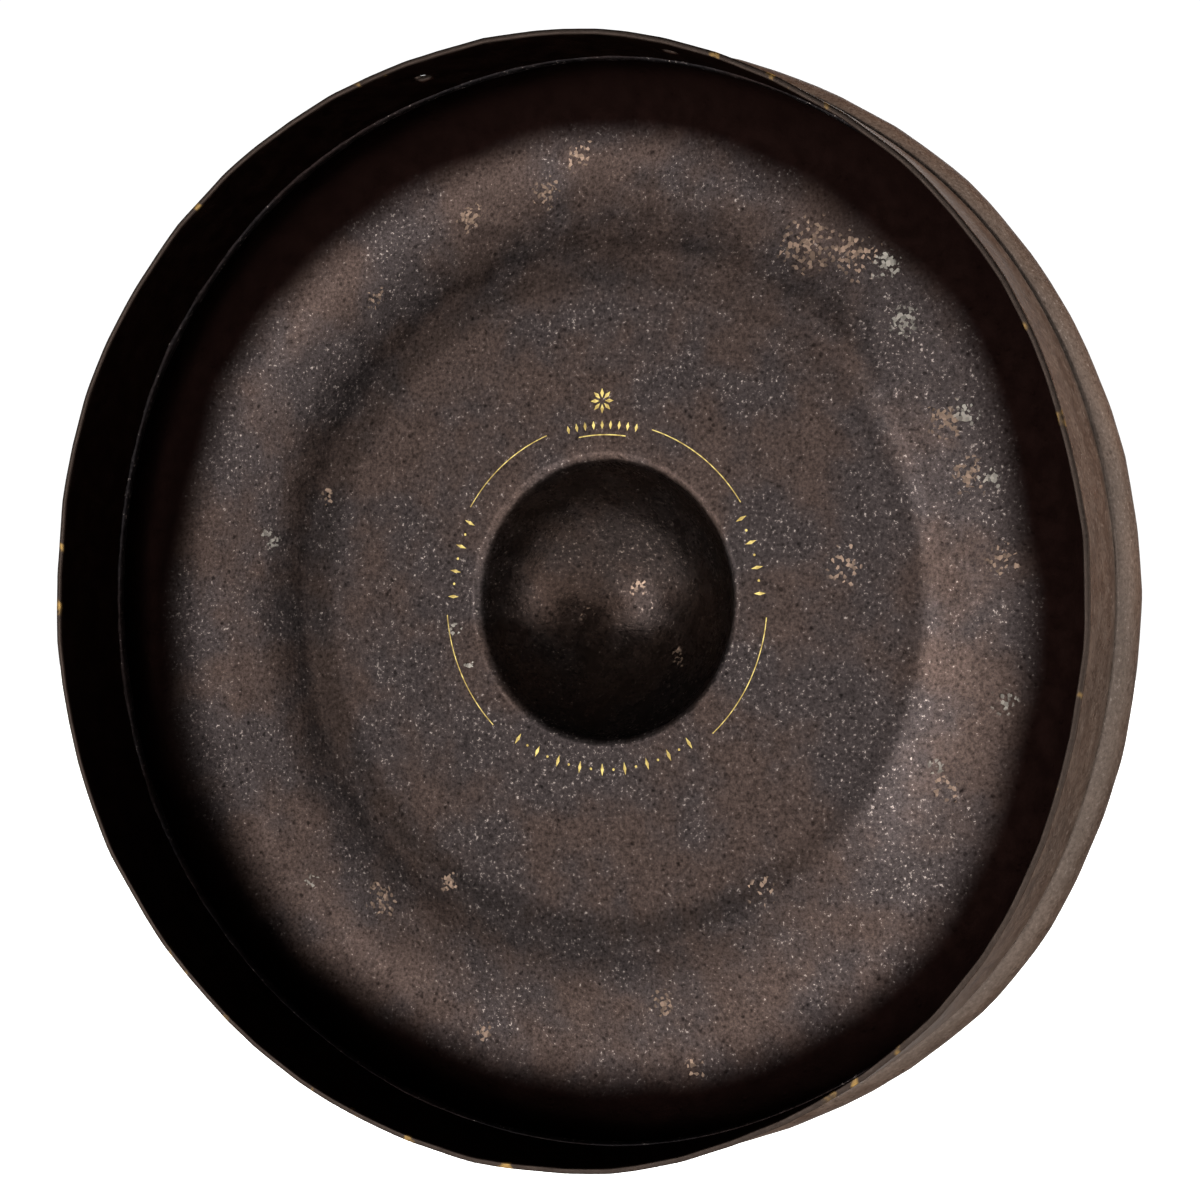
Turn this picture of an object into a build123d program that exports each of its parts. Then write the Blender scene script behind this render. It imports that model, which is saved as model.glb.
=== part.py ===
# Boss gong, made from bronze sheet: a dished face with a hollow boss in its middle, brazed
# edge to edge to a plain rim band. Millimetres. The gong hangs with its axis along Y: the
# open back faces -Y, the boss points to +Y, and +Z is up. The origin is the middle of its
# bounding box, on the axis.
from build123d import *
from math import acos, asin, atan, cos, degrees, radians, sin, sqrt
import os

os.makedirs("parts", exist_ok=True)

# ---- diameters, outside the metal ----
GONG_DIAMETER = 500.0       # the widest point, round the shoulder
PLATE_DIAMETER = 302.0      # the flat round the boss, out to the crease where it ends
BOSS_DIAMETER = 132.0       # where the dome would meet the plate

# ---- how far the wall draws in from the widest point, along the radius ----
SEAM_INSET = 5.5
LIP_INSET = 4.4

# ---- depths ----
BAND_WIDTH = 45.0           # from the lip to the seam
WIDEST_RISE = 17.0          # from the seam to the widest point
SHOULDER_RISE = 26.0        # from the widest point to the front of the ring
PLATE_SETBACK = 6.0         # the plate lies this much behind the ring
BOSS_HEIGHT = 46.0          # top of the boss above the plate

# ---- sheet thickness ----
FACE_WALL = 2.2
BAND_WALL = 2.6

# ---- other shaping, measured on the outside ----
STEP_WIDTH = 50.0           # run of the slope from the plate up to the ring
CREASE_RADIUS = 55.0        # tighter rounding where that slope leaves the plate
SHOULDER_RUN = 47.0         # from the level ring out to the widest point
SHOULDER_LEAN = 25.0        # degrees the shoulder has turned where it tightens
BOSS_FILLET = 3.5           # hollow rounding at the foot of the boss
LIP_ROUNDING = 0.8

# ---- braze along the inside of the seam ----
BEAD_WIDTH = 5.0
BEAD_HEIGHT = 1.2
BEAD_CROWN = 2.0            # width of its flat top

# ---- hanging holes, drilled parallel to Z through the top of the band ----
HOLE_DIAMETER = 8.0
HOLE_SPACING = 120.0
HOLE_INSET = 20.0           # from the lip to the middle of each hole

# ---- places along Y, all reached from the lip ----
ring_depth = BAND_WIDTH + WIDEST_RISE + SHOULDER_RISE
overall_depth = ring_depth - PLATE_SETBACK + BOSS_HEIGHT
lip_y = -overall_depth / 2
seam_y = lip_y + BAND_WIDTH
widest_y = seam_y + WIDEST_RISE
ring_y = lip_y + ring_depth
plate_y = ring_y - PLATE_SETBACK
apex_y = plate_y + BOSS_HEIGHT

# ---- places along the radius ----
widest_r = GONG_DIAMETER / 2
seam_r = widest_r - SEAM_INSET
lip_r = widest_r - LIP_INSET
step_inner_r = PLATE_DIAMETER / 2
step_outer_r = step_inner_r + STEP_WIDTH

# The dome is part of a sphere. At its foot a hollow rounding leads into the plate: the
# centre of that rounding is its own radius in front of the plate and outside the sphere.
dome_radius = ((BOSS_DIAMETER / 2) ** 2 + BOSS_HEIGHT**2) / (2 * BOSS_HEIGHT)
dome_y = apex_y - dome_radius
foot_y = plate_y + BOSS_FILLET
foot_r = sqrt((dome_radius + BOSS_FILLET) ** 2 - (foot_y - dome_y) ** 2)
dome_turn = degrees(acos((foot_y - dome_y) / (dome_radius + BOSS_FILLET)))

# The slope is two arcs that turn by the same angle: a tighter one at the crease, which leaves
# the plate, and a long flat one that runs out level into the ring.
step_turn = 2 * degrees(atan(PLATE_SETBACK / STEP_WIDTH))
sweep_radius = (STEP_WIDTH**2 + PLATE_SETBACK**2) / (2 * PLATE_SETBACK) - CREASE_RADIUS

# The shoulder is two arcs as well. A wide one leaves the ring and turns by the lean, and a
# tighter one takes over there and ends upright at the widest point. Their radii follow from
# the shoulder's run and rise.
lean = radians(SHOULDER_LEAN)
lean_scale = sin(lean) * cos(lean) - (1 - sin(lean)) * (1 - cos(lean))
wide_radius = (SHOULDER_RUN * cos(lean) - SHOULDER_RISE * (1 - sin(lean))) / lean_scale
tight_radius = (SHOULDER_RISE * sin(lean) - SHOULDER_RUN * (1 - cos(lean))) / lean_scale
shoulder_r = widest_r - SHOULDER_RUN

# Behind the widest point the sheet curls in as a flange, one more arc that reaches the seam.
# It is drawn two walls too long, and then trimmed square at the seam.
flange_radius = (SEAM_INSET**2 + WIDEST_RISE**2) / (2 * SEAM_INSET)
flange_r = widest_r - flange_radius
flange_turn = degrees(asin(WIDEST_RISE / flange_radius) + 2 * FACE_WALL / flange_radius)


def flange_inner_r(y):
    """Radius of the flange's inner wall at the height y along the axis."""
    return flange_r + sqrt((flange_radius - FACE_WALL) ** 2 - (widest_y - y) ** 2)


# ---- gong_face: boss, plate, slope, ring, shoulder and flange are one sheet ----
with BuildPart() as gong_face:
    with BuildSketch(Plane.XY):
        with BuildLine():
            with BuildLine() as front:
                CenterArc((0, dome_y), dome_radius, 90, -dome_turn)
                foot = CenterArc((foot_r, foot_y), BOSS_FILLET, 270 - dome_turn, dome_turn)
                step_start = (step_inner_r, plate_y + CREASE_RADIUS)
                step_in = CenterArc(step_start, CREASE_RADIUS, 270, step_turn)
                step_end = (step_outer_r, ring_y - sweep_radius)
                step_out = CenterArc(step_end, sweep_radius, 90 + step_turn, -step_turn)
                shoulder_start = (shoulder_r, ring_y - wide_radius)
                shoulder = CenterArc(shoulder_start, wide_radius, 90, -SHOULDER_LEAN)
                tight_start = (widest_r - tight_radius, widest_y)
                CenterArc(tight_start, tight_radius, 90 - SHOULDER_LEAN, SHOULDER_LEAN - 90)
                CenterArc((flange_r, widest_y), flange_radius, 0, -flange_turn)
                Line(foot @ 1, step_in @ 0)
                Line(step_out @ 1, shoulder @ 0)
            offset(front.line, amount=-FACE_WALL, side=Side.RIGHT)
        make_face()
        split(bisect_by=Plane(origin=(0, seam_y, 0), z_dir=(0, 1, 0)), keep=Keep.TOP)
    revolve(axis=Axis.Y)
gong_face.part.label = "gong_face"
export_step(gong_face.part, "parts/gong_face.step")

# ---- rim_band: a hoop from the lip to the seam, with two hanging holes at the top ----
hole_rise = sqrt(lip_r**2 - (HOLE_SPACING / 2) ** 2)
with BuildPart() as rim_band:
    with BuildSketch(Plane.XY) as band_section:
        with BuildLine():
            Polyline(
                (lip_r - BAND_WALL, lip_y),
                (lip_r, lip_y),
                (seam_r, seam_y),
                (seam_r - BAND_WALL, seam_y),
                close=True,
            )
        make_face()
        fillet(band_section.vertices().group_by(Axis.Y)[0], LIP_ROUNDING)
    revolve(axis=Axis.Y)
    with BuildSketch(Plane.XY.offset(hole_rise)):
        with Locations((0, lip_y + HOLE_INSET)):
            with GridLocations(HOLE_SPACING, 0, 2, 1):
                Circle(HOLE_DIAMETER / 2)
    extrude(amount=hole_rise / 2, both=True, mode=Mode.SUBTRACT)
rim_band.part.label = "rim_band"
export_step(rim_band.part, "parts/rim_band.step")

# ---- rim_seam: the bead of braze that fills the crease between band and flange ----
# Its back follows the band, the small ledge at the seam and the flange. Its front is dressed
# to a flat crown with two slopes.
half_bead = BEAD_WIDTH / 2
half_crown = BEAD_CROWN / 2
band_inner_r = seam_r - BAND_WALL
band_slope = (seam_r - lip_r) / BAND_WIDTH
bead_start = (band_inner_r - band_slope * half_bead, seam_y - half_bead)
bead_ledge = (flange_inner_r(seam_y), seam_y)
bead_middle = (flange_inner_r(seam_y + half_bead / 2), seam_y + half_bead / 2)
bead_end = (flange_inner_r(seam_y + half_bead), seam_y + half_bead)
crown_r = min(band_inner_r, flange_inner_r(seam_y)) - BEAD_HEIGHT
with BuildPart() as rim_seam:
    with BuildSketch(Plane.XY):
        with BuildLine():
            Polyline(bead_start, (band_inner_r, seam_y), bead_ledge)
            ThreePointArc(bead_ledge, bead_middle, bead_end)
            Line(bead_end, (crown_r, seam_y + half_crown))
            Line((crown_r, seam_y + half_crown), (crown_r, seam_y - half_crown))
            Line((crown_r, seam_y - half_crown), bead_start)
        make_face()
    revolve(axis=Axis.Y)
rim_seam.part.label = "rim_seam"
export_step(rim_seam.part, "parts/rim_seam.step")
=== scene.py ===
import math

import bmesh
import bpy
from mathutils import Matrix, Vector, noise
from mathutils.bvhtree import BVHTree


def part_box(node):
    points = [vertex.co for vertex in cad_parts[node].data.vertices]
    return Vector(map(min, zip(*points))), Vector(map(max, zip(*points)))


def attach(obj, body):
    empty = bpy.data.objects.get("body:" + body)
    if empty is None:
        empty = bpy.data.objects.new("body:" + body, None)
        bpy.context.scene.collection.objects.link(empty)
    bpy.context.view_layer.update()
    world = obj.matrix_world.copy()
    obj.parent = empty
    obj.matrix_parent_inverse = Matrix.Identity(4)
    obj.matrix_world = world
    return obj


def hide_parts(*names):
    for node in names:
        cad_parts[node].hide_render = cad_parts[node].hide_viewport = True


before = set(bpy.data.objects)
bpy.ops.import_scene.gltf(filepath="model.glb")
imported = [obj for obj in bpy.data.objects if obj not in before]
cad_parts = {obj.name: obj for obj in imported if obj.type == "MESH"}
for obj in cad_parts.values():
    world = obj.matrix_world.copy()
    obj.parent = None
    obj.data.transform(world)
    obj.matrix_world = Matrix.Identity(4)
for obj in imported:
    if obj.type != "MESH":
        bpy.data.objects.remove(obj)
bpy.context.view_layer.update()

# ==== Gong face =========================================================================
# One disc of bronze sheet, beaten over a hollow block until its edge turns back. The boss in
# the middle, the plate round it and the shallow slope outside the plate are one sheet. Every
# blow leaves a shallow dent, and the fire leaves a dark brown skin.
MM = 0.001
face_low, face_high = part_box("gong_face")
band_low, band_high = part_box("rim_band")
widest_r = face_high.x
apex_y = face_high.y
seam_y = face_low.y
lip_y = band_low.y
SEAM_INSET = 5.5 * MM
seam_r = widest_r - SEAM_INSET

SHEET = 2.2 * MM
BOSS_HEIGHT = 46 * MM
BOSS_RADIUS = 66 * MM
BOSS_FOOT = 3.5 * MM
PLATE_RADIUS = 151 * MM
SLOPE_WIDTH = 50 * MM
SLOPE_RISE = 6 * MM
CREASE = 55 * MM
SHOULDER_RUN = 47 * MM
SHOULDER_RISE = 26 * MM
SHOULDER_LEAN = 25
ROUND_STEPS = 400

plate_y = apex_y - BOSS_HEIGHT
ring_y = plate_y + SLOPE_RISE
shoulder_r = widest_r - SHOULDER_RUN
shoulder_y = ring_y - SHOULDER_RISE
lean = math.radians(SHOULDER_LEAN)
lean_scale = math.sin(lean) * math.cos(lean) - (1 - math.sin(lean)) * (1 - math.cos(lean))
wide_turn = (SHOULDER_RUN * math.cos(lean) - SHOULDER_RISE * (1 - math.sin(lean))) / lean_scale
tight_turn = (SHOULDER_RISE * math.sin(lean) - SHOULDER_RUN * (1 - math.cos(lean))) / lean_scale
dome_radius = (BOSS_RADIUS**2 + BOSS_HEIGHT**2) / (2 * BOSS_HEIGHT)
dome_y = apex_y - dome_radius
foot_y = plate_y + BOSS_FOOT
foot_r = math.sqrt((dome_radius + BOSS_FOOT) ** 2 - (foot_y - dome_y) ** 2)
dome_turn = math.degrees(math.acos((foot_y - dome_y) / (dome_radius + BOSS_FOOT)))
slope_turn = 2 * math.degrees(math.atan(SLOPE_RISE / SLOPE_WIDTH))
sweep = (SLOPE_WIDTH**2 + SLOPE_RISE**2) / (2 * SLOPE_RISE) - CREASE
slope_end = PLATE_RADIUS + SLOPE_WIDTH
flange_rise = shoulder_y - seam_y
flange_radius = (SEAM_INSET**2 + flange_rise**2) / (2 * SEAM_INSET)
flange_turn = math.degrees(math.asin(flange_rise / flange_radius))


def turn(bm, vert, centre, degrees, steps):
    """Carries a profile on from its last vertex, along an arc in the XY plane."""
    made = bmesh.ops.spin(
        bm, geom=[vert], cent=centre, axis=(0, 0, 1), angle=math.radians(degrees), steps=steps
    )
    return made["geom_last"][0]


def run(bm, vert, offset, steps):
    """Carries a profile on from its last vertex, in a straight line."""
    for _ in range(steps):
        vert = bmesh.ops.extrude_vert_indiv(bm, verts=[vert])["verts"][0]
        bmesh.ops.translate(bm, vec=Vector(offset) / steps, verts=[vert])
    return vert


def spin_round(bm):
    """Turns a profile once round the gong's axis, and closes it."""
    bmesh.ops.spin(
        bm,
        geom=bm.verts[:] + bm.edges[:],
        cent=(0, 0, 0),
        axis=(0, 1, 0),
        angle=math.tau,
        steps=ROUND_STEPS,
        use_merge=True,
    )
    bmesh.ops.remove_doubles(bm, verts=bm.verts, dist=0.01 * MM)
    bmesh.ops.recalc_face_normals(bm, faces=bm.faces)


# Waves round the rim: how many there are, how high in mm, and how far on each starts, in
# degrees of its own wave.
OUT_OF_ROUND = ((2, 2.3, 28), (3, 0.6, -131), (4, 0.5, 171), (6, 0.6, -159), (9, 0.3, -20))


def out_of_round(point):
    """How far the wall stands out of the true circle: a few long waves round the rim."""
    bearing = math.atan2(point.z, point.x)
    waves = sum(
        size * math.cos(count * bearing + math.radians(lead)) for count, size, lead in OUT_OF_ROUND
    )
    reach = math.hypot(point.x, point.z) / widest_r
    return waves * MM * reach**4


# Big blows fade towards the seam, where the sheet is held by the band.
SWELL_SIZE = 80 * MM
BLOW_SIZE = 24 * MM
TAP_SIZE = 9 * MM
DENT_DEPTH = 0.9 * MM
TAP_DEPTH = 0.12 * MM
SEAM_CALM = 8 * MM


def dents(point):
    """Height of the hammered surface over the true one, along its normal."""
    reach = math.hypot(point.x, point.z) / widest_r
    swell = noise.noise(point / SWELL_SIZE) * DENT_DEPTH * reach
    blows = (noise.voronoi(point / BLOW_SIZE)[0][0] ** 2 - 0.25) * DENT_DEPTH * reach**2
    small = (noise.voronoi(point / TAP_SIZE)[0][0] ** 2 - 0.25) * TAP_DEPTH
    from_seam = min(1.0, abs(point.y - seam_y) / SEAM_CALM)
    return (swell + blows) * from_seam + small


def beat(bm):
    """Moves every vertex of a true round shell to where the hammer left it."""
    bm.normal_update()
    for vert in bm.verts:
        across = Vector((vert.co.x, 0, vert.co.z))
        away = across.normalized() * out_of_round(vert.co)
        vert.co += away + vert.normal * dents(vert.co)


def piece_from(bm, name):
    """Makes a finished bmesh an object at the origin, smooth shaded."""
    mesh = bpy.data.meshes.new(name)
    bm.to_mesh(mesh)
    bm.free()
    mesh.shade_smooth()
    made = bpy.data.objects.new(name, mesh)
    bpy.context.scene.collection.objects.link(made)
    return made


bm = bmesh.new()
end = bm.verts.new((0, apex_y, 0))
end = turn(bm, end, (0, dome_y, 0), -dome_turn, 26)
end = turn(bm, end, (foot_r, foot_y, 0), dome_turn, 5)
end = run(bm, end, (PLATE_RADIUS - foot_r, 0, 0), 22)
end = turn(bm, end, (PLATE_RADIUS, plate_y + CREASE, 0), slope_turn, 8)
end = turn(bm, end, (slope_end, ring_y - sweep, 0), -slope_turn, 16)
end = run(bm, end, (shoulder_r - slope_end, 0, 0), 1)
end = turn(bm, end, (shoulder_r, ring_y - wide_turn, 0), -SHOULDER_LEAN, 13)
end = turn(bm, end, (widest_r - tight_turn, shoulder_y, 0), SHOULDER_LEAN - 90, 11)
end = turn(bm, end, (widest_r - flange_radius, shoulder_y, 0), -flange_turn, 7)
spin_round(bm)
beat(bm)
bmesh.ops.solidify(bm, geom=bm.faces[:], thickness=SHEET)
face = piece_from(bm, "hammered_face")

# Drops of flux, wax and damp have dried on the inside. Each has x, z and size in mm, and then
# how strong it is, up to 1.
TAN_STAINS = (
    (-72, 180, 8, 1.0),
    (-32, 189, 9, 0.7),
    (-14, 205, 9, 0.5),
    (98, 156, 17, 0.5),
    (120, 151, 14, 0.6),
    (162, 78, 10, 1.0),
    (173, 53, 10, 0.9),
    (186, 18, 9, 0.6),
    (118, 16, 12, 0.35),
    (-147, 50, 5, 0.6),
    (-122, 144, 8, 0.6),
    (-120, -144, 11, 0.7),
    (-80, -133, 6, 0.8),
    (28, -183, 7, 0.9),
    (45, -210, 7, 0.5),
    (161, -80, 8, 0.6),
    (-62, -203, 6, 0.6),
    (78, -130, 10, 0.35),
    (-3, 6, 6, 0.5),
    (22, -26, 6, 0.5),
    (-26, -6, 5, 0.4),
)
PALE_STAINS = (
    (143, 121, 8, 1.0),
    (134, 146, 8, 0.8),
    (170, 80, 7, 0.8),
    (180, 52, 6, 0.8),
    (187, -43, 8, 0.5),
    (-183, 31, 7, 0.7),
    (-159, -137, 4, 0.9),
    (-77, -14, 4, 0.8),
    (-69, -31, 3, 0.7),
    (158, -71, 5, 0.6),
)


def paint_stains(mesh, name, stains):
    """Writes how strongly each inside vertex is stained, as a value of the mesh."""
    values = mesh.attributes.new(name, "FLOAT", "POINT").data
    for vert, value in zip(mesh.vertices, values):
        if vert.normal.y > 0.2:
            continue
        value.value = max(
            strength * max(0.0, 1 - math.hypot(vert.co.x - x * MM, vert.co.z - z * MM) / (size * MM))
            for x, z, size, strength in stains
        )


paint_stains(face.data, "tan_stain", TAN_STAINS)
paint_stains(face.data, "pale_stain", PALE_STAINS)

# A point in the open bowl: the inside of every sheet faces it, and the outside faces away.
BOWL_MIDDLE = Vector((0, -30 * MM, 0))


def mark_open_side(mesh):
    """Writes 1 on the vertices that look into the gong and 0 on those outside."""
    values = mesh.attributes.new("open_side", "FLOAT", "POINT").data
    for vert, value in zip(mesh.vertices, values):
        value.value = 1.0 if vert.normal.dot(BOWL_MIDDLE - vert.co) > 0 else 0.0


mark_open_side(face.data)


def linear(hex_colour):
    """An sRGB hex colour as the linear colour a shader takes."""
    parts = [int(hex_colour[i : i + 2], 16) / 255 for i in (1, 3, 5)]
    return tuple(c / 12.92 if c <= 0.04045 else ((c + 0.055) / 1.055) ** 2.4 for c in parts) + (1.0,)


def put(tree, kind, settings, feeds, out=0):
    """Adds one shader node with its settings, feeds it values or sockets, and gives an output."""
    node = tree.nodes.new("ShaderNode" + kind)
    for name, value in settings.items():
        setattr(node, name, value)
    for name, value in feeds.items():
        if isinstance(value, bpy.types.NodeSocket):
            tree.links.new(value, node.inputs[name])
        else:
            node.inputs[name].default_value = value
    return node.outputs[out]


def grain(size_mm):
    """Scale of a pattern on object coordinates whose marks are this many millimetres wide."""
    return 1000 / size_mm


def new_material(name):
    """An empty node material, and its tree."""
    material = bpy.data.materials.new(name)
    material.use_nodes = True
    material.node_tree.nodes.clear()
    return material, material.node_tree


# Settings that many of the shader nodes share.
EASE = {"interpolation_type": "SMOOTHSTEP"}
PAINT = {"data_type": "RGBA"}
TINT = {"data_type": "RGBA", "blend_type": "MULTIPLY"}
TIMES = {"operation": "MULTIPLY"}
LESS = {"operation": "SUBTRACT"}


def bronze_skin(tree, place, brown, grey):
    """The fired and oiled skin of hammered bronze: brown and grey clouds some centimetres wide,
    hammer mottling, pale specks of scale and small dark pits. Gives colour, gloss and relief.
    Real scale is grit of about half a millimetre, drawn at 1.7 mm so that it shows."""
    clouds = put(tree, "TexNoise", {}, {"Vector": place, "Scale": grain(38), "Detail": 5.0})
    mottle = put(
        tree, "TexNoise", {}, {"Vector": place, "Scale": grain(9), "Detail": 3.0, "Roughness": 0.6}
    )
    fine = put(
        tree, "TexNoise", {}, {"Vector": place, "Scale": grain(1.7), "Detail": 3.0, "Roughness": 0.75}
    )
    pits = put(tree, "TexVoronoi", {}, {"Vector": place, "Scale": grain(4.2)})
    hue = put(tree, "MapRange", EASE, {0: clouds, 1: 0.38, 2: 0.62})
    colour = put(tree, "Mix", PAINT, {0: hue, 6: linear(brown), 7: linear(grey)}, 2)
    cloud_shade = put(tree, "MapRange", {}, {0: clouds, 1: 0.25, 2: 0.75, 3: 1.12, 4: 0.88})
    colour = put(tree, "Mix", TINT, {0: 1.0, 6: colour, 7: cloud_shade}, 2)
    mottle_shade = put(tree, "MapRange", {}, {0: mottle, 1: 0.25, 2: 0.75, 3: 0.72, 4: 1.28})
    colour = put(tree, "Mix", TINT, {0: 1.0, 6: colour, 7: mottle_shade}, 2)
    fine_shade = put(tree, "MapRange", {}, {0: fine, 1: 0.25, 2: 0.75, 3: 0.2, 4: 1.9})
    colour = put(tree, "Mix", TINT, {0: 1.0, 6: colour, 7: fine_shade}, 2)
    pit_core = put(tree, "MapRange", EASE, {0: pits, 1: 0.34, 2: 0.1})
    pit_crowd = put(tree, "MapRange", EASE, {0: mottle, 1: 0.46, 2: 0.62})
    pit = put(tree, "Math", TIMES, {0: pit_core, 1: pit_crowd})
    pit_shade = put(tree, "MapRange", {}, {0: pit, 3: 1.0, 4: 0.45})
    colour = put(tree, "Mix", TINT, {0: 1.0, 6: colour, 7: pit_shade}, 2)
    speck_edge = put(tree, "MapRange", EASE, {0: clouds, 1: 0.35, 2: 0.65, 3: 0.67, 4: 0.615})
    speck = put(tree, "Math", LESS, {0: fine, 1: speck_edge})
    speck = put(tree, "MapRange", EASE, {0: speck, 1: 0.0, 2: 0.05, 4: 0.7})
    colour = put(tree, "Mix", PAINT, {0: speck, 6: colour, 7: linear("#978b84")}, 2)
    gloss = put(tree, "MapRange", EASE, {0: mottle, 1: 0.3, 2: 0.7, 3: 0.44, 4: 0.56})
    relief = put(tree, "Math", LESS, {0: fine, 1: pit})
    return colour, gloss, relief


def metal_surface(tree, colour, metallic, gloss, relief, relief_mm):
    """Gathers a skin into one metal surface and puts it out. Its edge tint is dark, because an
    oxide skin doesn't turn mirror-bright at a low angle as bare metal does."""
    bump = put(tree, "Bump", {}, {"Height": relief, "Distance": relief_mm * MM})
    surface = put(
        tree,
        "BsdfPrincipled",
        {},
        {
            "Base Color": colour,
            "Metallic": metallic,
            "Roughness": gloss,
            "Specular Tint": (0.25, 0.25, 0.25, 1),
            "Normal": bump,
        },
    )
    put_out = tree.nodes.new("ShaderNodeOutputMaterial")
    tree.links.new(surface, put_out.inputs["Surface"])


# The painted highlight on the ring and the painted shade on the shoulder lie in rings, from one
# radius to another, a little off the middle. The painted highlight at +X lies between two rings
# of its own, and only on that side, past a given x.
RING_HIGHLIGHT = (150 * MM, 180 * MM)
SHADE_EDGE = (201 * MM, 226 * MM)
RINGS_OFFSET = (16.5 * MM, 0, 6 * MM)
RINGS_WANDER = 5 * MM
SIDE_HIGHLIGHT_IN = (150 * MM, 157 * MM)
SIDE_HIGHLIGHT_OUT = (190 * MM, 165 * MM)
SIDE_HIGHLIGHT_X = (110 * MM, 150 * MM)

# Outside, wiping has evened the skin: this much of it is one plain brown.
OUTSIDE_BROWNS = ("#5b4f48", "#574d47")
CLEAN_BROWN = "#594e47"
CLEANED = 0.55


def fired_bronze():
    """Hammered bronze, blackened in the fire and oiled: a dull, dark, slightly violet brown that
    mirrors light only broadly. The ring carries a painted highlight, the crease and the shoulder
    carry painted shade, and dried drops lie on it. The outside is cleaner and paler."""
    material, tree = new_material("fired_bronze")
    place = put(tree, "TexCoord", {}, {}, "Object")
    colour, gloss, relief = bronze_skin(tree, place, "#382e2a", "#342e2d")

    # The ring is painted paler: a painted highlight for the light it catches. This highlight and the
    # painted shade on the shoulder lie a little off the middle, and wander.
    off_centre = put(tree, "VectorMath", {}, {0: place, 1: RINGS_OFFSET})
    flat = put(tree, "VectorMath", {"operation": "MULTIPLY"}, {0: off_centre, 1: (1, 0, 1)})
    radius = put(tree, "VectorMath", {"operation": "LENGTH"}, {0: flat}, "Value")
    wander = put(tree, "TexNoise", {}, {"Vector": place, "Scale": grain(130), "Detail": 2.0})
    wander = put(
        tree, "MapRange", {}, {0: wander, 1: 0.3, 2: 0.7, 3: -RINGS_WANDER, 4: RINGS_WANDER}
    )
    radius = put(tree, "Math", {}, {0: radius, 1: wander})
    ring_highlight = put(
        tree,
        "MapRange",
        EASE,
        {0: radius, 1: RING_HIGHLIGHT[0], 2: RING_HIGHLIGHT[1], 3: 1.0, 4: 1.85},
    )
    colour = put(tree, "Mix", TINT, {0: 1.0, 6: colour, 7: ring_highlight}, 2)

    # Painted shade: the shoulder is painted near black, from its edge outwards, for the shade it lies
    # in.
    inner_shade = put(tree, "MapRange", EASE, {0: radius, 1: SHADE_EDGE[0], 2: SHADE_EDGE[1]})
    colour = put(tree, "Mix", PAINT, {0: inner_shade, 6: colour, 7: linear("#0d0605")}, 2)

    # The mouth of the boss is painted pale: partly wear, partly a painted highlight on its rounded
    # edge.
    across = put(tree, "VectorMath", {"operation": "MULTIPLY"}, {0: place, 1: (1, 0, 1)})
    from_axis = put(tree, "VectorMath", {"operation": "LENGTH"}, {0: across}, "Value")
    from_rim = put(tree, "Math", LESS, {0: from_axis, 1: BOSS_RADIUS})
    from_rim = put(tree, "Math", {"operation": "ABSOLUTE"}, {0: from_rim})
    worn_and_highlight = put(tree, "MapRange", EASE, {0: from_rim, 1: 2.4 * MM, 2: 0.8 * MM, 3: 1.0, 4: 2.0})
    colour = put(tree, "Mix", TINT, {0: 1.0, 6: colour, 7: worn_and_highlight}, 2)
    # Painted shade: the crease at the plate's edge is painted darker, for the shade that falls in it.
    from_crease = put(tree, "Math", LESS, {0: from_axis, 1: PLATE_RADIUS - 1 * MM})
    from_crease = put(tree, "Math", {"operation": "ABSOLUTE"}, {0: from_crease})
    crease_shade = put(tree, "MapRange", EASE, {0: from_crease, 1: 11 * MM, 2: 1 * MM, 3: 1.0, 4: 0.62})
    colour = put(tree, "Mix", TINT, {0: 1.0, 6: colour, 7: crease_shade}, 2)

    # Painted highlight: the slope on the side at +X, just outside the crease, is painted paler.
    sideways = put(tree, "SeparateXYZ", {}, {"Vector": place}, "X")
    wear_and_highlight = put(tree, "MapRange", EASE, {0: sideways, 1: SIDE_HIGHLIGHT_X[0], 2: SIDE_HIGHLIGHT_X[1]})
    highlight_in = put(tree, "MapRange", EASE, {0: from_axis, 1: SIDE_HIGHLIGHT_IN[0], 2: SIDE_HIGHLIGHT_IN[1]})
    highlight_out = put(tree, "MapRange", EASE, {0: from_axis, 1: SIDE_HIGHLIGHT_OUT[0], 2: SIDE_HIGHLIGHT_OUT[1]})
    wear_and_highlight = put(tree, "Math", TIMES, {0: wear_and_highlight, 1: highlight_in})
    wear_and_highlight = put(tree, "Math", TIMES, {0: wear_and_highlight, 1: highlight_out})
    side_highlight = put(tree, "MapRange", {}, {0: wear_and_highlight, 3: 1.0, 4: 1.9})
    colour = put(tree, "Mix", TINT, {0: 1.0, 6: colour, 7: side_highlight}, 2)

    # The hollow of the boss is a little smoother and oilier than the plate.
    hollow = put(
        tree, "MapRange", EASE, {0: from_axis, 1: BOSS_RADIUS - 2 * MM, 2: BOSS_RADIUS - 5 * MM}
    )
    hollow_skin = put(tree, "Mix", TINT, {0: 1.0, 6: colour, 7: linear("#e8dfd8")}, 2)
    colour = put(tree, "Mix", PAINT, {0: hollow, 6: colour, 7: hollow_skin}, 2)
    smoother = put(tree, "MapRange", {}, {0: hollow, 3: 0.0, 4: 0.22})
    gloss = put(tree, "Math", LESS, {0: gloss, 1: smoother})
    metallic = put(tree, "MapRange", {}, {0: hollow, 3: 1.0, 4: 0.82})

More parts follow.
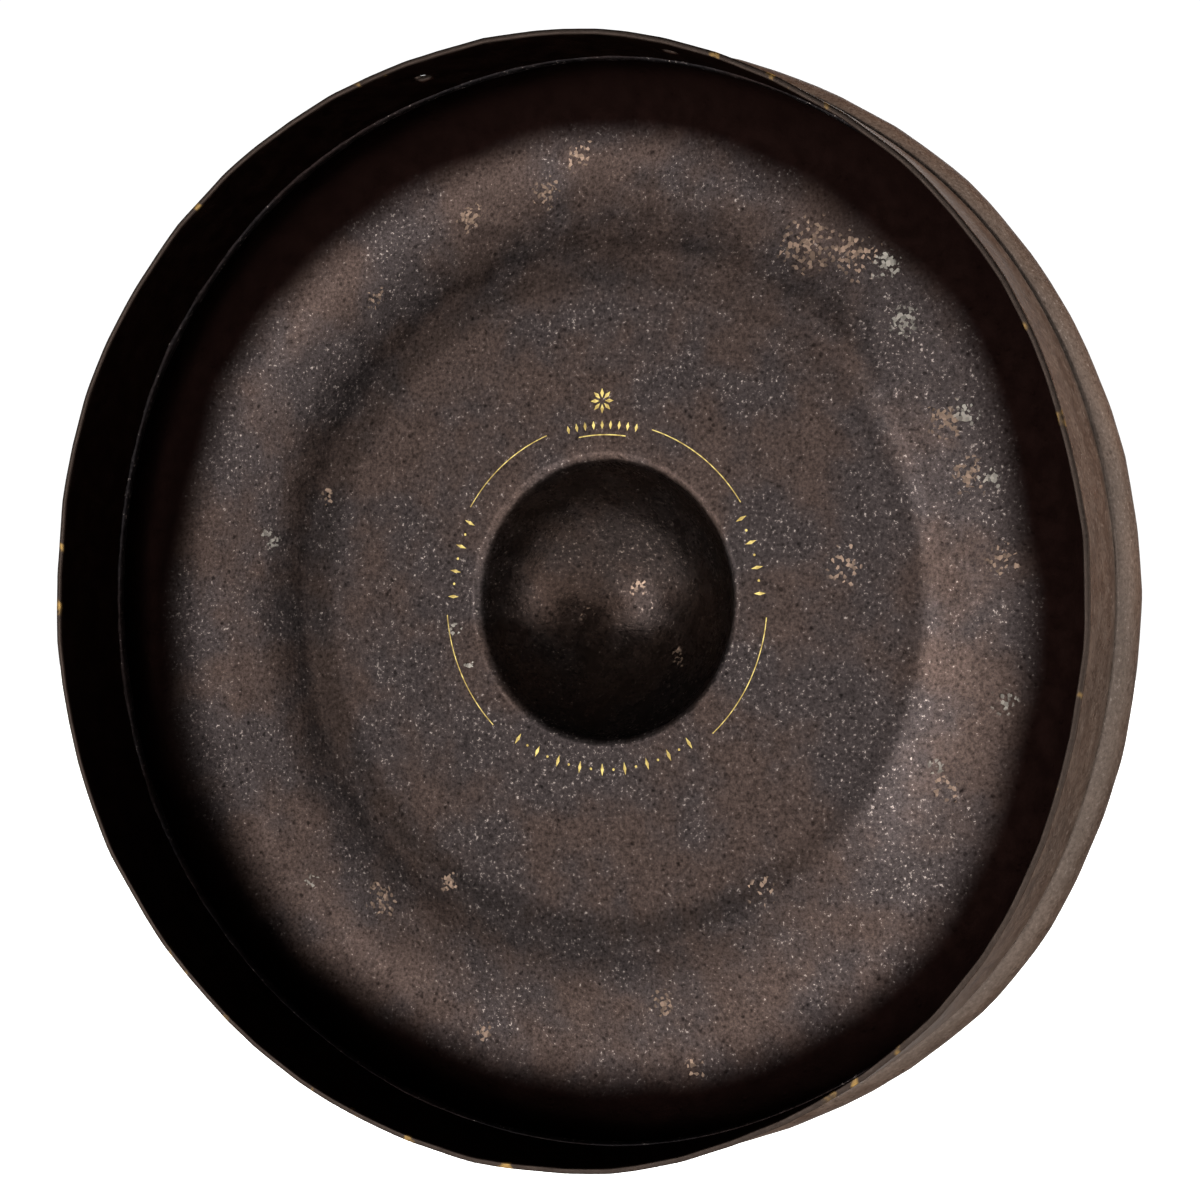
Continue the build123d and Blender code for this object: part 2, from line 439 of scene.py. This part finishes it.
    # The dried drops have broken into crumbs, and hide the metal under them. Real crumbs are
    # finer, and are drawn 1.5 mm wide so that they show.
    crumbs = put(tree, "TexVoronoi", {}, {"Vector": place, "Scale": grain(1.5)}, "Color")
    broken = put(tree, "SeparateXYZ", {}, {"Vector": crumbs}, "X")
    crumb_shade = put(tree, "SeparateXYZ", {}, {"Vector": crumbs}, "Y")
    crumb_shade = put(tree, "MapRange", {}, {0: crumb_shade, 3: 0.4, 4: 1.25})
    for name, stain in (("tan_stain", "#9c8371"), ("pale_stain", "#a19a90")):
        painted = put(tree, "Attribute", {"attribute_name": name}, {}, "Fac")
        cover = put(tree, "Math", LESS, {0: painted, 1: broken})
        cover = put(tree, "MapRange", EASE, {0: cover, 1: 0.0, 2: 0.1, 3: 0.0, 4: 0.8})
        crumb = put(tree, "Mix", TINT, {0: 1.0, 6: linear(stain), 7: crumb_shade}, 2)
        colour = put(tree, "Mix", PAINT, {0: cover, 6: colour, 7: crumb}, 2)
        dulled = put(tree, "Math", TIMES, {0: cover, 1: 0.5})
        metallic = put(tree, "Math", LESS, {0: metallic, 1: dulled})

    inside = put(tree, "Attribute", {"attribute_name": "open_side"}, {}, "Fac")
    outside = bronze_skin(tree, place, *OUTSIDE_BROWNS)[0]
    outside = put(tree, "Mix", PAINT, {0: CLEANED, 6: outside, 7: linear(CLEAN_BROWN)}, 2)
    colour = put(tree, "Mix", PAINT, {0: inside, 6: outside, 7: colour}, 2)
    metal_surface(tree, colour, metallic, gloss, relief, 0.1)
    return material


face.data.materials.append(fired_bronze())
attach(face, "root")
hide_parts("gong_face")

# ==== Rim band ==========================================================================
# A strip of thicker bronze bent into a hoop and beaten true over a stake. Its free edge is the
# lip, filed flat, with a few brass glints. Two holes at the top take the hanging cord.
BAND_SHEET = 2.6 * MM
LIP_ROUNDING = 0.7 * MM
HOLE_RADIUS = 4 * MM
HOLE_SPACING = 120 * MM
HOLE_INSET = 20 * MM
DRILL_LENGTH = 40 * MM
LIP_WAVE = 0.7 * MM
LIP_WAVE_SIZE = 35 * MM
LIP_WAVE_DEPTH = 12 * MM

bm = bmesh.new()
end = bm.verts.new((seam_r, seam_y, 0))
end = run(bm, end, (band_high.x - seam_r, lip_y - seam_y, 0), 18)
spin_round(bm)
beat(bm)
for vert in bm.verts:
    near_lip = max(0.0, 1 - (vert.co.y - lip_y) / LIP_WAVE_DEPTH)
    vert.co.y += noise.noise(vert.co / LIP_WAVE_SIZE) * LIP_WAVE * near_lip
bmesh.ops.solidify(bm, geom=bm.faces[:], thickness=BAND_SHEET)
bm.normal_update()
lip_edges = [
    edge
    for edge in bm.edges
    if edge.calc_face_angle(0) > 1 and max(v.co.y for v in edge.verts) < lip_y + 5 * MM
]
bmesh.ops.bevel(
    bm, geom=lip_edges, offset=LIP_ROUNDING, segments=3, affect="EDGES", profile=0.5, material=-1
)
band = piece_from(bm, "hammered_band")

bm = bmesh.new()
bmesh.ops.create_cone(
    bm, cap_ends=True, segments=32, radius1=HOLE_RADIUS, radius2=HOLE_RADIUS, depth=DRILL_LENGTH
)
bmesh.ops.translate(bm, vec=(-HOLE_SPACING / 2, lip_y + HOLE_INSET, seam_r), verts=bm.verts)
bmesh.ops.mirror(bm, geom=bm.verts[:] + bm.edges[:] + bm.faces[:], axis="X", merge_dist=-1)
bmesh.ops.recalc_face_normals(bm, faces=bm.faces)
drill = piece_from(bm, "drill")
holes = band.modifiers.new("holes", "BOOLEAN")
holes.object = drill
holes.solver = "EXACT"
shaped = band.evaluated_get(bpy.context.evaluated_depsgraph_get())
drilled = bpy.data.meshes.new_from_object(shaped)
band.modifiers.clear()
band.data = drilled
bpy.data.objects.remove(drill)


def handled_bronze():
    """The same fired bronze, wiped clean outside and painted near black inside as painted shade. The
    lip is dark, with a few brass glints where hands have rubbed it through."""
    material, tree = new_material("handled_bronze")
    place = put(tree, "TexCoord", {}, {}, "Object")
    colour, gloss, relief = bronze_skin(tree, place, *OUTSIDE_BROWNS)
    colour = put(tree, "Mix", PAINT, {0: CLEANED, 6: colour, 7: linear(CLEAN_BROWN)}, 2)
    inside = put(tree, "Attribute", {"attribute_name": "open_side"}, {}, "Fac")
    # Painted shade: the inside of the band is painted near black.
    inner_shade = put(tree, "MapRange", {}, {0: inside, 3: 0.0, 4: 0.97})
    colour = put(tree, "Mix", PAINT, {0: inner_shade, 6: colour, 7: linear("#160906")}, 2)
    height = put(tree, "SeparateXYZ", {}, {"Vector": place}, "Y")
    wear_and_highlight = put(tree, "TexNoise", {}, {"Vector": place, "Scale": grain(16), "Detail": 3.0})
    edge = put(
        tree, "MapRange", EASE, {0: height, 1: lip_y + 2.0 * MM, 2: lip_y + 0.3 * MM, 3: 0.0, 4: 0.8}
    )
    colour = put(tree, "Mix", PAINT, {0: edge, 6: colour, 7: linear("#2e2622")}, 2)
    glint = put(tree, "MapRange", EASE, {0: wear_and_highlight, 1: 0.62, 2: 0.7, 3: 0.0, 4: 0.9})
    glint = put(tree, "Math", TIMES, {0: glint, 1: edge})
    colour = put(tree, "Mix", PAINT, {0: glint, 6: colour, 7: linear("#a5834c")}, 2)
    metal_surface(tree, colour, 1.0, gloss, relief, 0.08)
    return material


mark_open_side(band.data)
band.data.materials.clear()
band.data.materials.append(handled_bronze())
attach(band, "root")
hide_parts("rim_band")

# ==== Seam ==============================================================================
# Hard solder run along the crease inside, where the band's edge meets the face. It was poured
# by hand, so it swells and thins, and it is dark, a shade paler than the painted shade beside it.
BEAD_WIDTH = 5 * MM
BEAD_HEIGHT = 1.2 * MM
BEAD_LUMPS = 9 * MM
BEAD_SWELLS = 45 * MM
BEAD_WANDER = 0.8 * MM
BEAD_WANDER_SIZE = 60 * MM
crease_r = seam_r - BAND_SHEET

bm = bmesh.new()
bmesh.ops.create_circle(bm, cap_ends=False, segments=12, radius=BEAD_WIDTH / 2)
bmesh.ops.scale(bm, vec=(BEAD_HEIGHT / (BEAD_WIDTH / 2), 1, 1), verts=bm.verts)
bmesh.ops.translate(bm, vec=(crease_r, seam_y, 0), verts=bm.verts)
spin_round(bm)
for vert in bm.verts:
    across = Vector((vert.co.x, 0, vert.co.z)).normalized()
    middle = across * crease_r + Vector((0, seam_y, 0))
    lumps = noise.noise(middle / BEAD_LUMPS)
    swell = 1 + 0.35 * lumps + 0.35 * noise.noise(middle / BEAD_SWELLS)
    wander = Vector((0, noise.noise(middle / BEAD_WANDER_SIZE) * BEAD_WANDER, 0))
    vert.co = middle + (vert.co - middle) * swell + wander + across * out_of_round(vert.co)
bead = piece_from(bm, "solder_bead")


def dark_solder():
    """Hard solder, dull and darkened: a shade paler than the painted shade on the sheet beside it."""
    material, tree = new_material("dark_solder")
    place = put(tree, "TexCoord", {}, {}, "Object")
    colour, gloss, relief = bronze_skin(tree, place, "#241d1c", "#221f20")
    metal_surface(tree, colour, 1.0, gloss, relief, 0.1)
    return material


bead.data.materials.append(dark_solder())
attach(bead, "root")
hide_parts("rim_seam")

# ==== Gold print ========================================================================
# A thin metallic print on the plate, round the mouth of the boss: four arcs on one circle, and
# plain lozenges and dots in the gaps between them. A small flower stands above the top gap.
PRINT_RADIUS = 81 * MM
LINE_WIDTH = 0.45 * MM
FILM = 0.08 * MM
# Arcs of the circle, from and to a bearing. Rows of ornament: from, to, and how many.
ARCS = ((32.5, 72), (110.5, 147.5), (185, 226), (312.5, 354.5))
ROWS = ((0, 30, 7), (150, 181, 7), (234, 306, 17))
ROW_RADIUS = 77.5 * MM
CREST_HEIGHT = 91 * MM
LOZENGE = (2.9 * MM, 0.8 * MM)
DOT = (0.6 * MM, 0.6 * MM)
DOT_CORNERS = 10
TOP_ROW_RADIUS = 80 * MM
TOP_ROW_COUNT = 9
TOP_ROW_STEP = 3.1
TOP_LOZENGE = (2.0 * MM, 0.8 * MM)
TOP_LINE_RADIUS = 75.5 * MM
TOP_LINE_WIDTH = 0.5 * MM
PETALS = 8
PETAL_RADIUS = 3.6 * MM
PETAL = (2.2 * MM, 0.9 * MM)


def arc_strip(bm, radius, width, start, stop):
    """A flat strip along part of a circle round the boss."""
    inner = bm.verts.new((radius - width / 2, 0, 0))
    outer = bm.verts.new((radius + width / 2, 0, 0))
    edge = bm.edges.new((inner, outer))
    bmesh.ops.rotate(
        bm,
        cent=(0, 0, 0),
        matrix=Matrix.Rotation(-math.radians(start), 3, "Y"),
        verts=[inner, outer],
    )
    bmesh.ops.spin(
        bm,
        geom=[inner, outer, edge],
        cent=(0, 0, 0),
        axis=(0, -1, 0),
        angle=math.radians(stop - start),
        steps=max(4, round((stop - start) * 1.2)),
    )


def lozenge(bm, bearing, radius, long_half, wide_half, corners=4):
    """A small flat ornament whose long way points at the middle of the boss."""
    made = bmesh.ops.create_circle(bm, cap_ends=True, segments=corners, radius=1)["verts"]
    bmesh.ops.rotate(bm, cent=(0, 0, 0), matrix=Matrix.Rotation(math.pi / 2, 3, "X"), verts=made)
    bmesh.ops.scale(bm, vec=(long_half, 1, wide_half), verts=made)
    bmesh.ops.translate(bm, vec=(radius, 0, 0), verts=made)
    turned = Matrix.Rotation(-math.radians(bearing), 3, "Y")
    bmesh.ops.rotate(bm, cent=(0, 0, 0), matrix=turned, verts=made)


bm = bmesh.new()
for start, stop in ARCS:
    arc_strip(bm, PRINT_RADIUS, LINE_WIDTH, start, stop)
for start, stop, count in ROWS:
    for index in range(count):
        bearing = start + (stop - start) * (index + 0.5) / count
        if index % 2:
            lozenge(bm, bearing, ROW_RADIUS, *DOT, DOT_CORNERS)
        else:
            lozenge(bm, bearing, ROW_RADIUS, *LOZENGE)
for index in range(TOP_ROW_COUNT):
    bearing = 90 + (index - (TOP_ROW_COUNT - 1) / 2) * TOP_ROW_STEP
    lozenge(bm, bearing, TOP_ROW_RADIUS, *TOP_LOZENGE)
arc_strip(bm, TOP_LINE_RADIUS, TOP_LINE_WIDTH, 81, 99)
for petal in range(PETALS):
    made_before = len(bm.verts)
    lozenge(bm, 360 / PETALS * petal, PETAL_RADIUS, *PETAL)
    bm.verts.ensure_lookup_table()
    bmesh.ops.translate(bm, vec=(0, 0, CREST_HEIGHT), verts=bm.verts[made_before:])

# The ink lies on the hammered sheet: each point of the print is dropped onto it.
sheet_tree = BVHTree.FromPolygons(
    [v.co for v in face.data.vertices], [p.vertices[:] for p in face.data.polygons]
)
bm.normal_update()
bmesh.ops.reverse_faces(bm, faces=[f for f in bm.faces if f.normal.y > 0])
for vert in bm.verts:
    across = Vector((vert.co.x, lip_y, vert.co.z))
    vert.co = sheet_tree.ray_cast(across, Vector((0, 1, 0)))[0] - Vector((0, FILM, 0))
bmesh.ops.solidify(bm, geom=bm.faces[:], thickness=FILM / 2)
print_piece = piece_from(bm, "gold_ornament")
print_piece.data.shade_flat()


def gold_print():
    """Screen printed metallic gold ink: bright, thin, and a little patchy."""
    material, tree = new_material("gold_print")
    place = put(tree, "TexCoord", {}, {}, "Object")
    patchy = put(tree, "TexNoise", {}, {"Vector": place, "Scale": grain(3), "Detail": 3.0})
    cover = put(tree, "MapRange", EASE, {0: patchy, 1: 0.35, 2: 0.7})
    colour = put(
        tree, "Mix", PAINT, {0: cover, 6: linear("#8c7844"), 7: linear("#c6b26c")}, 2
    )
    metal_surface(tree, colour, 0.85, 0.45, patchy, 0.02)
    return material


print_piece.data.materials.append(gold_print())
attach(print_piece, "root")

# ==== Studio ============================================================================
# The gong hangs in front of white paper, over a pale floor. Two soft lights stand in front of
# it, left and right, and one stands behind.
FLOOR_REACH = 12
FLOOR_DROP = 0.42
floor_mesh = bmesh.new()
bmesh.ops.create_grid(floor_mesh, x_segments=1, y_segments=1, size=FLOOR_REACH)
bmesh.ops.translate(floor_mesh, vec=(0, 0, -FLOOR_DROP), verts=floor_mesh.verts)
floor = piece_from(floor_mesh, "floor")
floor_material, tree = new_material("pale_floor")
paper = put(
    tree,
    "BsdfPrincipled",
    {},
    {
        "Base Color": linear("#f4f4f2"),
        "Roughness": 0.8,
        "Emission Color": linear("#ffffff"),
        "Emission Strength": 0.6,
    },
)
floor_out = tree.nodes.new("ShaderNodeOutputMaterial")
tree.links.new(paper, floor_out.inputs["Surface"])
floor.data.materials.append(floor_material)

# Light comes mostly from behind the gong, and little from the side that the bowl opens to.
# The camera sees plain white instead.
world = bpy.data.worlds.new("studio")
bpy.context.scene.world = world
world.use_nodes = True
tree = world.node_tree
tree.nodes.clear()
way = put(tree, "TexCoord", {}, {}, "Generated")
depth = put(tree, "SeparateXYZ", {}, {"Vector": way}, "Y")
depth = put(tree, "MapRange", EASE, {0: depth, 1: -0.1, 2: 0.7, 3: 0.05, 4: 4.0})
surround = put(tree, "Background", {}, {"Strength": depth, "Color": (1, 1, 1, 1)})
backdrop = put(tree, "Background", {}, {"Strength": 1.1, "Color": (1, 1, 1, 1)})
seen = put(tree, "LightPath", {}, {}, "Is Camera Ray")
mixed = put(tree, "MixShader", {}, {0: seen, 1: surround, 2: backdrop})
world_out = tree.nodes.new("ShaderNodeOutputWorld")
tree.links.new(mixed, world_out.inputs["Surface"])


def softbox(name, bearing, height, distance, size, power):
    """A square soft light, aimed at the gong. Bearing 0 is in front of the open back."""
    light = bpy.data.lights.new(name, "AREA")
    light.shape = "SQUARE"
    light.size = size
    light.energy = power
    lamp = bpy.data.objects.new(name, light)
    bpy.context.scene.collection.objects.link(lamp)
    turned = math.radians(bearing)
    out = Vector((math.sin(turned), -math.cos(turned), height)).normalized()
    lamp.location = out * distance
    lamp.rotation_euler = (-out).to_track_quat("-Z", "Y").to_euler()


softbox("left_softbox", -22, 0.05, 1.9, 0.9, 14)
softbox("right_softbox", 60, 0.05, 1.9, 0.7, 5)
softbox("back_softbox", 200, 0.2, 2.0, 0.8, 16)

# The camera looks into the open back from the right, level with the middle of the gong.
CAMERA_BEARING = 25.5
CAMERA_DISTANCE = 1.14
CAMERA_LENS = 75
AIM_DEPTH = 13.5 * MM
camera = bpy.data.objects.new("camera", bpy.data.cameras.new("camera"))
bpy.context.scene.collection.objects.link(camera)
bpy.context.scene.camera = camera
camera.data.lens = CAMERA_LENS
aim = Vector((0, AIM_DEPTH, 0))
turned = math.radians(CAMERA_BEARING)
back = Vector((math.sin(turned), -math.cos(turned), 0))
camera.location = aim + back * CAMERA_DISTANCE
camera.rotation_euler = (-back).to_track_quat("-Z", "Y").to_euler()
bpy.context.scene.view_settings.view_transform = "Standard"
